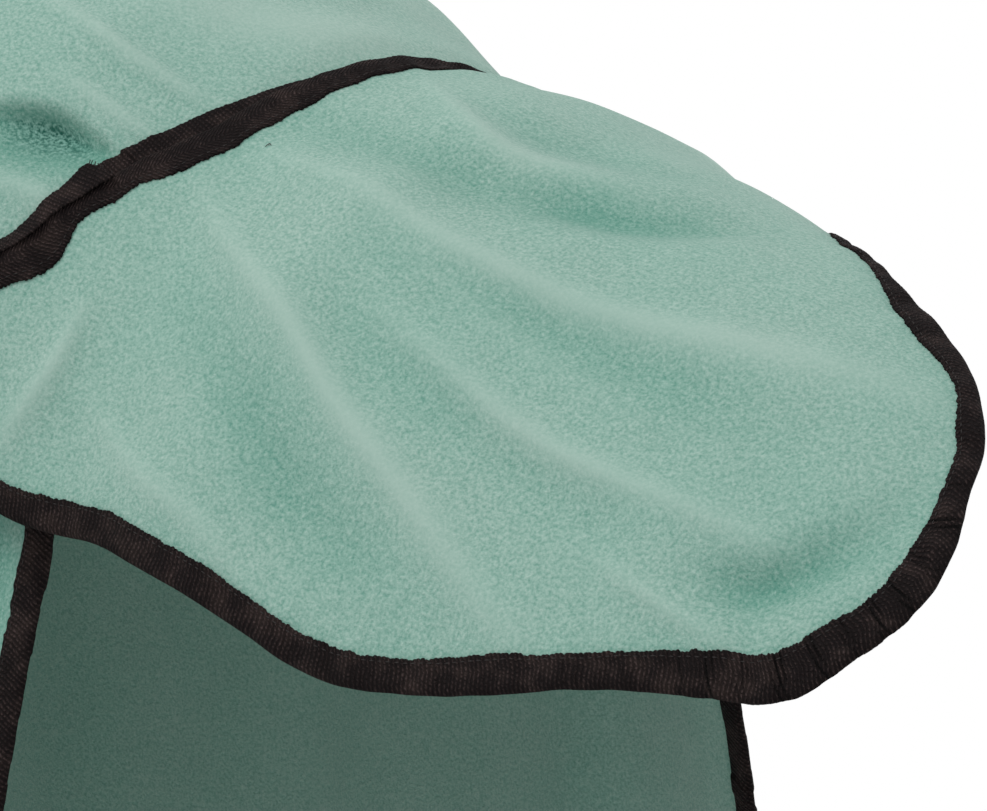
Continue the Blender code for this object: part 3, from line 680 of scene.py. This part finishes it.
# gap: between the tape and the fleece. pitch: of the loops on its selvage. middle: of its twill.
tapeShape = dict(thick=0.0009, gap=0.0002, pitch=0.0021, middle=0.006, jag=0.001, stripJag=0.0006,
                 swell=0.00028, longSwell=0.047, shortSwell=0.019, clump=0.0165, ruck=0.0031, notch=0.35,
                 notchFade=0.002, fullGather=0.0008)
bodyAround = Around(bodySides(), steady(12), steady(0), steady(0.1))
# Round the flap: how much of the tape shows on top, how far the fleece's edge rolls under and how deeply
# the tape is gathered.
flapShows = (
    (0, 12), (80, 10), (130, 11.5), (230, 11.5), (300, 10.5), (350, 12),
    (380, 10.5), (440, 13.5), (500, 15.5), (530, 14), (560, 15.5), (610, 8.5),
    (630, 9.5), (650, 8), (700, 13), (740, 6.5), (800, 6), (900, 11),
    (1100, 13.5), (1360, 12), (1450, 13.5), (1490, 10.5), (1500, 8.5), (1510, 10.5),
    (1535, 11), (1540, 14), (1580, 13), (2000, 13))
flapRolls = ((0, 0), (720, 0), (765, 0), (785, 1), (800, 1.8), (840, 2.8), (920, 3), (1000, 1.5), (1080, 0),
             (1200, 0))
flapGathers = ((300, 0.1), (360, 0.1), (430, 0.5), (470, 1), (560, 1), (620, 0.3), (700, 0.1), (2000, 0.1))
flapAround = Around(flapSides(), flapShows, flapRolls, flapGathers)
bodyFleece = makeFleece("body_fleece", bodyAround, crowded(178, (1.0,), 8.0, 0.1),
                        crowded(250, (0.42,), 5.0, 0.1), bodyLift)
flapFleece = makeFleece("tail_flap_fleece", flapAround, crowded(190, (), 0.0, 1.0),
                        crowded(210, (), 0.0, 1.0), flapLift)
print("stage: fleece made")


# The uneven looped selvage of a woven tape, from -1 to 1 or so.
def jagged(run, seed):
    rng = np.random.default_rng(seed)
    loops = np.abs(np.sin(math.pi * run / tapeShape["pitch"])) ** 0.7 - 0.6
    knots = np.arange(0.0, run[-1] + 0.02, 0.0017)
    coarse = np.arange(0.0, run[-1] + 0.02, 0.0065)
    return (0.5 * loops + 0.9 * np.interp(run, knots, rng.uniform(-0.5, 0.5, len(knots)))
            + 0.8 * np.interp(run, coarse, rng.uniform(-0.5, 0.5, len(coarse))))


# Tape folded over an edge: a U-section carried round the loop, with a looped selvage.
def makeBinding(name, around, lift, stations, slants):
    sides = around.sides
    loop = spaced(np.concatenate([*[side[:-1] for side in sides], sides[0][:1]]), stations)[:-1]
    run = lengths(np.concatenate([loop, loop[:1]]))
    total, run = run[-1], run[:-1]
    shows, gathers = around.tapeShows(run), around.gathers(run)
    thick, gap, back = tapeShape["thick"], tapeShape["gap"], -rug["fleece"]
    top = shows + tapeShape["jag"] * jagged(run, 3)
    longWaves, shortWaves = round(total / tapeShape["longSwell"]), round(total / tapeShape["shortSwell"])
    swell = tapeShape["swell"] * (np.sin(2 * math.pi * longWaves * run / total)
                                  * np.sin(2 * math.pi * shortWaves * run / total + 0.7))
    # inset from the edge, lift above the fleece and share of the swell: from the top selvage round the
    # fold to the under selvage, then back inside
    profile = ((top, gap, 0.0), (top - 0.0002, gap + thick * 0.75, 0.2), (top - 0.0012, gap + thick, 0.5),
               (shows * 0.82, gap + thick * 1.1, 0.8), (shows * 0.66, gap + thick * 1.2, 1.0),
               (shows * 0.5, gap + thick * 1.25, 1.0), (shows * 0.34, gap + thick * 1.25, 1.0),
               (shows * 0.2, gap + thick * 1.15, 0.8), (shows * 0.09, gap + thick * 0.95, 0.6),
               (0.0001, gap + thick * 0.7, 0.2),
               (-0.0012, -0.0003, 0.0), (-0.0016, back * 0.5, 0.0), (-0.0011, back + 0.0004, 0.0),
               (0.0004, back - gap - thick * 0.4, 0.0), (shows * 0.3, back - gap - thick, 0.3),
               (shows - 0.001, back - gap - thick, 0.2), (shows, back - gap, 0.0),
               (0.001, back - gap * 0.5, 0.0), (-0.0004, back * 0.5, 0.0), (0.001, gap * 0.5, 0.0),
               (shows * 0.6, gap * 0.5, 0.0))
    # the gathers come in clumps, each a few small rucks that notch the edge
    clump = np.sin(2 * math.pi * (run + 0.003 * np.sin(run * 71.0)) / tapeShape["clump"])
    clump = np.maximum(clump, 0.0) ** 1.2 * (0.75 + 0.25 * np.sin(run * 131.0))
    notch = tapeShape["notch"] * gathers * clump
    rails, across, creaseShade = [], [], []
    for distance, height, share in profile:
        distance = np.broadcast_to(distance, run.shape)
        cut = inset(loop, distance + notch * np.exp(-np.maximum(distance, 0.0) / tapeShape["notchFade"]))
        crease = run + 0.4 * distance - 14.0 * distance**2
        ruck = np.abs(np.sin(math.pi * crease / tapeShape["ruck"])) ** 0.7
        between = 0.4 * np.sin(2 * math.pi * crease / tapeShape["clump"] + 2.5)
        drawn = gathers * (clump * 1.3 * (ruck - 0.7) + between)
        # how deeply painted shade darkens each crease of the gathers
        creaseShade.append(np.minimum(gathers / tapeShape["fullGather"], 1.0) * clump * (1.0 - ruck))
        under = lift(*cut.T) + around.small(*cut.T)
        rails.append(drape(*cut.T, under + height + share * (swell + drawn)))
        across.append(distance if height > back * 0.5 else -0.003 - distance)
    points = np.stack(rails, 1)
    count, size = points.shape[:2]
    obj = meshObject(name, points.reshape(-1, 3), gridFaces(count, size, True, True)[:, ::-1], webbing)
    across = np.stack(across, 1)
    # the weave slants both ways from the middle of the tape
    along = run[:, None] + table(slants)(run)[:, None] * np.abs(across - tapeShape["middle"])
    loopUv(obj, np.stack([along.ravel(), across.ravel()], -1))
    pointValue(obj, "creaseShade", np.stack(creaseShade, 1).ravel())
    return obj, rails[3]


flapSlants = ((0, 200), (400, 250), (600, 500), (950, 600), (1050, 900), (2000, 900))
bodyTape, bodySeam = makeBinding("body_tape", bodyAround, bodyLift, 4500, steady(150))
flapTape, flapSeam = makeBinding("tail_flap_tape", flapAround, flapLift, 3300, flapSlants)
print("stage: bindings made")


# A flat length of tape between two cut lines, slightly domed, with looped selvages. Its two edges each
# have their own lift.
def makeStrip(name, edges, lifts, seed):
    left, right = edges
    run = lengths(0.5 * (left + right))
    rough = tapeShape["stripJag"] * jagged(run, seed)
    way = right - left
    wide = np.linalg.norm(way, axis=1)
    way /= wide[:, None]
    rails, across = [], []
    # share of the width, share of the thickness, and the side on which the selvage is jagged
    shape = ((0.0, 0.0, 1), (0.02, 0.75, 1), (0.12, 1.0, 0), (0.35, 1.25, 0), (0.65, 1.25, 0),
             (0.88, 1.0, 0), (0.98, 0.75, -1), (1.0, 0.0, -1), (0.5, 0.0, 0))
    for share, height, toothed in shape:
        cut = left + way * (wide * share - rough * toothed)[:, None]
        lift = lifts[0] * (1.0 - share) + lifts[1] * share
        under = bodyAround.small(*cut.T)
        rails.append(drape(*cut.T, under + lift + height * tapeShape["thick"]))
        across.append(share)
    points = np.stack(rails, 1)
    # each end closes to a line
    points[[0, -1]] = points[[0, -1]] * 0.25 + points[[0, -1]].mean(1, keepdims=True) * 0.75
    count, size = points.shape[:2]
    obj = meshObject(name, points.reshape(-1, 3), gridFaces(count, size, False, True)[:, ::-1], webbing)
    across = np.array(across)[None] * wide[:, None]
    along = np.broadcast_to(run[:, None], across.shape)
    loopUv(obj, np.stack([along.ravel(), across.ravel()], -1))
    return obj


# joint, slant: where the short length's raw end lies, and how it is cut. under: how far the long length
# runs on beneath it. tucked, overlap: how far each runs in under the flap's binding. low, high: lifts of
# the long length's edges. shortLow, over: the short one's. bridge: how far the long length stands off
# the hollow by the joint. endCurl, farCurl, pushed: the raw end's rise and its move forwards.
seam = dict(joint=-0.15, slant=0.0036, under=0.014, tucked=0.003, overlap=0.0034, low=0.0018,
            high=0.0016, bridge=0.003, bridgeFrom=-0.118, bridgeOver=0.025, bridgeTo=-0.147,
            bridgeEnd=0.01, shortLow=0.0026, over=0.0076, endCurl=0.0056, farCurl=0.0016, pushed=0.0012,
            cornerGap=0.012, longStations=900, shortStations=500)
# Width of the seam tape: rows of (side, width) in millimetres.
seamWide = table(((-320, 5.5), (-212, 4), (-195, 4), (-177, 5.5), (-158, 9),
                  (-135, 10), (-116, 12), (-100, 12.5), (-81, 8.5), (-63, 6.5),
                  (-44, 3), (-27, 2), (0, 3), (30, 3), (100, 7),
                  (240, 9)))


def seamEdges(sideFrom, sideTo, stations, overlap):
    side = np.linspace(sideFrom, sideTo, stations)
    return (np.stack([flapTop(side) - seamWide(side), side], -1),
            np.stack([flapTop(side) + overlap, side], -1))


longEdges = seamEdges(seam["joint"] - seam["under"], flapCut["farCorner"] - seam["cornerGap"],
                      seam["longStations"], seam["tucked"])
bridge = seam["bridge"] * smoothStep((seam["bridgeFrom"] - longEdges[0][:, 1]) / seam["bridgeOver"])
bridge *= 1.0 - smoothStep((seam["bridgeTo"] - longEdges[0][:, 1]) / seam["bridgeEnd"])
longLifts = (seam["low"] + bridge, seam["high"] + 0.5 * bridge)
seamTapeLong = makeStrip("seam_tape_strip_long", longEdges, longLifts, 5)
shortEdges = [seamEdges(flapCut["nearCorner"] + seam["cornerGap"], end, seam["shortStations"],
                        seam["overlap"])[k]
              for k, end in enumerate((seam["joint"], seam["joint"] + seam["slant"]))]
# the raw end of the short length curls up off the fleece
rise = 0.8 * smoothStep((np.linspace(0.0, 1.0, seam["shortStations"]) - 0.86) / 0.14) ** 1.4
shortEdges[0][:, 0] -= seam["pushed"] * rise
shortLifts = (seam["shortLow"] + seam["endCurl"] * rise, seam["over"] + seam["farCurl"] * rise)
seamTapeShort = makeStrip("seam_tape_strip_short", shortEdges, shortLifts, 7)
print("stage: seam tapes made")


# A tree that puts one short domed stitch on every point, laid along the point's way.
def stitchTree():
    tree = bpy.data.node_groups.new("row of stitches", "GeometryNodeTree")
    for label, kind in (("Places", "Geometry"), ("Stitch length", "Float"), ("Thread width", "Float"),
                        ("Unevenness", "Float"), ("Seed", "Int"), ("Finish", "Material")):
        tree.interface.new_socket(label, in_out="INPUT", socket_type="NodeSocket" + kind)
    tree.interface.new_socket("Stitches", in_out="OUTPUT", socket_type="NodeSocketGeometry")
    kinds = dict(given="NodeGroupInput", made="NodeGroupOutput", ball="GeometryNodeMeshUVSphere",
                 size="ShaderNodeCombineXYZ", shape="GeometryNodeTransform",
                 way="GeometryNodeInputNamedAttribute", turn="FunctionNodeAlignRotationToVector",
                 vary="FunctionNodeRandomValue", least="ShaderNodeMath",
                 place="GeometryNodeInstanceOnPoints", real="GeometryNodeRealizeInstances",
                 finish="GeometryNodeSetMaterial")
    n = {name: tree.nodes.new(kind) for name, kind in kinds.items()}
    n["way"].data_type = "FLOAT_VECTOR"
    n["turn"].axis = "X"
    n["vary"].data_type = "FLOAT"
    n["least"].operation = "SUBTRACT"
    for name, socket, value in (("ball", "Segments", 5), ("ball", "Rings", 3), ("ball", "Radius", 0.5),
                                ("way", "Name", "way"), ("least", 0, 1.0)):
        n[name].inputs[socket].default_value = value
    links = (("given", "Stitch length", "size", 0), ("given", "Thread width", "size", 1),
             ("given", "Thread width", "size", 2), ("ball", "Mesh", "shape", "Geometry"),
             ("size", 0, "shape", "Scale"), ("way", "Attribute", "turn", "Vector"),
             ("given", "Unevenness", "least", 1), ("least", 0, "vary", 2),
             ("given", "Seed", "vary", "Seed"), ("given", "Places", "place", "Points"),
             ("shape", "Geometry", "place", "Instance"),
             ("turn", "Rotation", "place", "Rotation"), ("vary", 1, "place", "Scale"),
             ("place", "Instances", "real", "Geometry"), ("real", "Geometry", "finish", "Geometry"),
             ("given", "Finish", "finish", "Material"), ("finish", "Geometry", "made", "Stitches"))
    for source, leaves, target, enters in links:
        tree.links.new(n[source].outputs[leaves], n[target].inputs[enters])
    return tree


stitch = dict(pitch=0.0036, length=0.003, width=0.0005, unevenness=0.12)
stitchRows = stitchTree()


# A row of stitches along this line of points, as one plain mesh.
def makeStitches(name, line, seed):
    places = spaced(line, int(lengths(line)[-1] / stitch["pitch"]))
    ways = np.gradient(places, axis=0)
    holder = linked(name + "_places", bpy.data.meshes.new(name + "_places"))
    holder.data.vertices.add(len(places))
    holder.data.vertices.foreach_set("co", places.astype(np.float32).ravel())
    way = holder.data.attributes.new("way", "FLOAT_VECTOR", "POINT")
    way.data.foreach_set("vector", ways.astype(np.float32).ravel())
    rows = holder.modifiers.new("stitches", "NODES")
    rows.node_group = stitchRows
    wanted = {"Stitch length": stitch["length"], "Thread width": stitch["width"],
              "Unevenness": stitch["unevenness"], "Seed": seed, "Finish": thread}
    for item in stitchRows.interface.items_tree:
        if item.item_type == "SOCKET" and item.in_out == "INPUT" and item.name in wanted:
            rows[item.identifier] = wanted[item.name]
    graph = bpy.context.evaluated_depsgraph_get()
    mesh = bpy.data.meshes.new_from_object(holder.evaluated_get(graph))
    holder.modifiers.clear()
    bpy.data.objects.remove(holder)
    mesh.shade_smooth()
    return linked(name, mesh)


# Loose fibres: fine tubes along lines of points, tapered at both ends.
def makeThreads(name, lines, radius):
    points, faces, made = [], [], 0
    turn = np.linspace(0.0, 2.0 * math.pi, 5)[:-1]
    for line in lines:
        ahead = np.gradient(line, axis=0)
        ahead /= np.linalg.norm(ahead, axis=1)[:, None]
        aside = np.cross(ahead, (0.31, 0.17, 0.93))
        aside /= np.linalg.norm(aside, axis=1)[:, None]
        over = np.cross(ahead, aside)
        wide = radius * np.sqrt(np.sin(np.linspace(0.08, math.pi - 0.08, len(line))))[:, None, None]
        ring = np.cos(turn)[None, :, None] * aside[:, None] + np.sin(turn)[None, :, None] * over[:, None]
        points.append((line[:, None] + wide * ring).reshape(-1, 3))
        faces.append(gridFaces(len(line), 4, False, True) + made)
        made += len(line) * 4
    return meshObject(name, np.concatenate(points), np.concatenate(faces), thread)


fray = dict(radius=0.00022, seed=17, loops=13, scatter=0.0004, shortest=0.001, longest=0.0026, sway=0.0006,
            back=0.0006, sink=0.0032)


# Short loops of weft that stand up from the raw end of the short seam tape.
def frayedEnd():
    rng = np.random.default_rng(fray["seed"])
    left, right = shortEdges[0][-1], shortEdges[1][-1]
    loops = []
    for share in np.linspace(0.05, 0.9, fray["loops"]):
        foot = left + (right - left) * share + rng.uniform(-fray["scatter"], fray["scatter"], 2)
        reach = rng.uniform(fray["shortest"], fray["longest"])
        t = np.linspace(0.0, 1.0, 9)
        along = foot[0] + reach * (0.2 * t - 0.5 * t**2) + rng.uniform(-fray["sway"], fray["sway"]) * t
        side = foot[1] - fray["back"] + reach * np.sin(t * rng.uniform(1.3, 2.4))
        lift = seam["shortLow"] + seam["endCurl"] - fray["sink"] * share + reach * 0.7 * np.sin(t * 2.2)
        loops.append(drape(along, side, lift))
    return loops


# One tiny fibre that has come away onto the fleece below the seam.
def strayFibre():
    t = np.linspace(0.0, 1.0, 12)
    along, side = 0.0005 + 0.0022 * t, -0.0965 + 0.0026 * t + 0.0008 * np.sin(4.0 * t)
    return drape(along, side, flapCut["lift"] + rug["fleece"] + 0.0004 + 0.0003 * np.sin(3.0 * t))


bodyStitches = makeStitches("body_tape_stitches", bodySeam, 21)
flapStitches = makeStitches("tail_flap_tape_stitches", flapSeam, 22)
looseThreads = makeThreads("loose_threads", frayedEnd() + [strayFibre()], fray["radius"])
print("stage: stitches made")


for name, finish in (("chest_strap_near", strapping), ("chest_strap_far", strapping),
                     ("buckle_near", plastic), ("buckle_far", plastic)):
    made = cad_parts[name].data
    made.materials.clear()
    made.materials.append(finish)

for obj, node in ((bodyFleece, "body"), (flapFleece, "tail_flap"), (bodyTape, "body_binding"),
                  (flapTape, "flap_binding"), (seamTapeLong, "seam_tape_long"),
                  (seamTapeShort, "seam_tape_short")):
    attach(obj, "root")
    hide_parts(node)
for obj in (bodyStitches, flapStitches, looseThreads):
    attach(obj, "root")
print("stage: pieces declared")


camera = dict(azimuth=45.0, elevation=5.0, away=2.4, metresAcross=0.3948, seamRight=-0.0246, seamUp=0.1334,
              sensor=36.0)
lights = (dict(name="key", place=(-0.2, -1.9, 3.1), aim=(0.8, -0.1, -0.1), size=2.2, power=84.0,
               colour=(1.0, 0.99, 0.97)),
          dict(name="fill", place=(3.0, -1.6, 0.9), aim=(0.7, -0.1, -0.2), size=2.4, power=12.0,
               colour=(0.97, 0.99, 1.0)))
sky = dict(colour=(1.0, 1.0, 1.0, 1), strength=0.68)
floor = dict(radius=6.0, height=-1.45, corners=64, colour=(0.8, 0.8, 0.8, 1), fadeFrom=2.2, fadeTo=5.5)


def placeCamera():
    a, e = math.radians(camera["azimuth"]), math.radians(camera["elevation"])
    toward = Vector((math.sin(a) * math.cos(e), -math.cos(a) * math.cos(e), math.sin(e)))
    right = Vector((math.cos(a), math.sin(a), 0.0))
    up = toward.cross(right)
    seamPoint = Vector(smoothDrape(np.array([0.0]), np.array([0.0]))[0])
    target = seamPoint - right * camera["seamRight"] - up * camera["seamUp"]
    data = bpy.data.cameras.new("camera")
    data.sensor_width = camera["sensor"]
    data.lens = camera["sensor"] * camera["away"] / camera["metresAcross"]
    data.clip_start, data.clip_end = 0.1, 100.0
    made = linked("camera", data)
    made.location = target + toward * camera["away"]
    made.rotation_euler = (-toward).to_track_quat("-Z", "Y").to_euler()
    bpy.context.scene.camera = made


def addLight(light):
    data = bpy.data.lights.new(light["name"], "AREA")
    data.shape, data.size = "DISK", light["size"]
    data.energy, data.color = light["power"], light["colour"]
    made = linked(light["name"], data)
    made.location = light["place"]
    made.rotation_euler = (Vector(light["place"]) - Vector(light["aim"])).to_track_quat("Z", "Y").to_euler()
    made.visible_camera = False


def makeFloor():
    finish = Finish("pale floor")
    away = finish.add("VectorMath", {0: finish.place}, operation="LENGTH").outputs["Value"]
    clear = finish.add("BsdfTransparent")
    finish.set(Base_Color=floor["colour"], Roughness=0.9)
    fade = finish.ramp(away, floor["fadeFrom"], floor["fadeTo"])
    mixed = finish.add("MixShader", {0: fade, 1: finish.shader.outputs[0], 2: clear.outputs[0]})
    finish.links.new(mixed.outputs[0], finish.nodes["Material Output"].inputs["Surface"])
    turn = np.linspace(0.0, 2.0 * math.pi, floor["corners"] + 1)[:-1]
    points = np.stack([floor["radius"] * np.cos(turn), floor["radius"] * np.sin(turn),
                       np.full(len(turn), floor["height"])], -1)
    made = meshObject("floor", points, np.arange(len(turn))[None], finish.material)


# The sky lights the rug softly, and is plain white where the camera sees it.
def makeSky():
    world = bpy.data.worlds.new("studio")
    world.use_nodes = True
    bpy.context.scene.world = world
    nodes, links = world.node_tree.nodes, world.node_tree.links
    soft = nodes["Background"]
    soft.inputs["Color"].default_value = sky["colour"]
    soft.inputs["Strength"].default_value = sky["strength"]
    seen = nodes.new("ShaderNodeBackground")
    seen.inputs["Color"].default_value = sky["colour"]
    path, mix = nodes.new("ShaderNodeLightPath"), nodes.new("ShaderNodeMixShader")
    links.new(path.outputs["Is Camera Ray"], mix.inputs[0])
    links.new(soft.outputs[0], mix.inputs[1])
    links.new(seen.outputs[0], mix.inputs[2])
    links.new(mix.outputs[0], nodes["World Output"].inputs[0])


placeCamera()
for light in lights:
    addLight(light)
makeFloor()
makeSky()
bpy.context.scene.view_settings.view_transform = "Standard"
print("stage: studio ready")
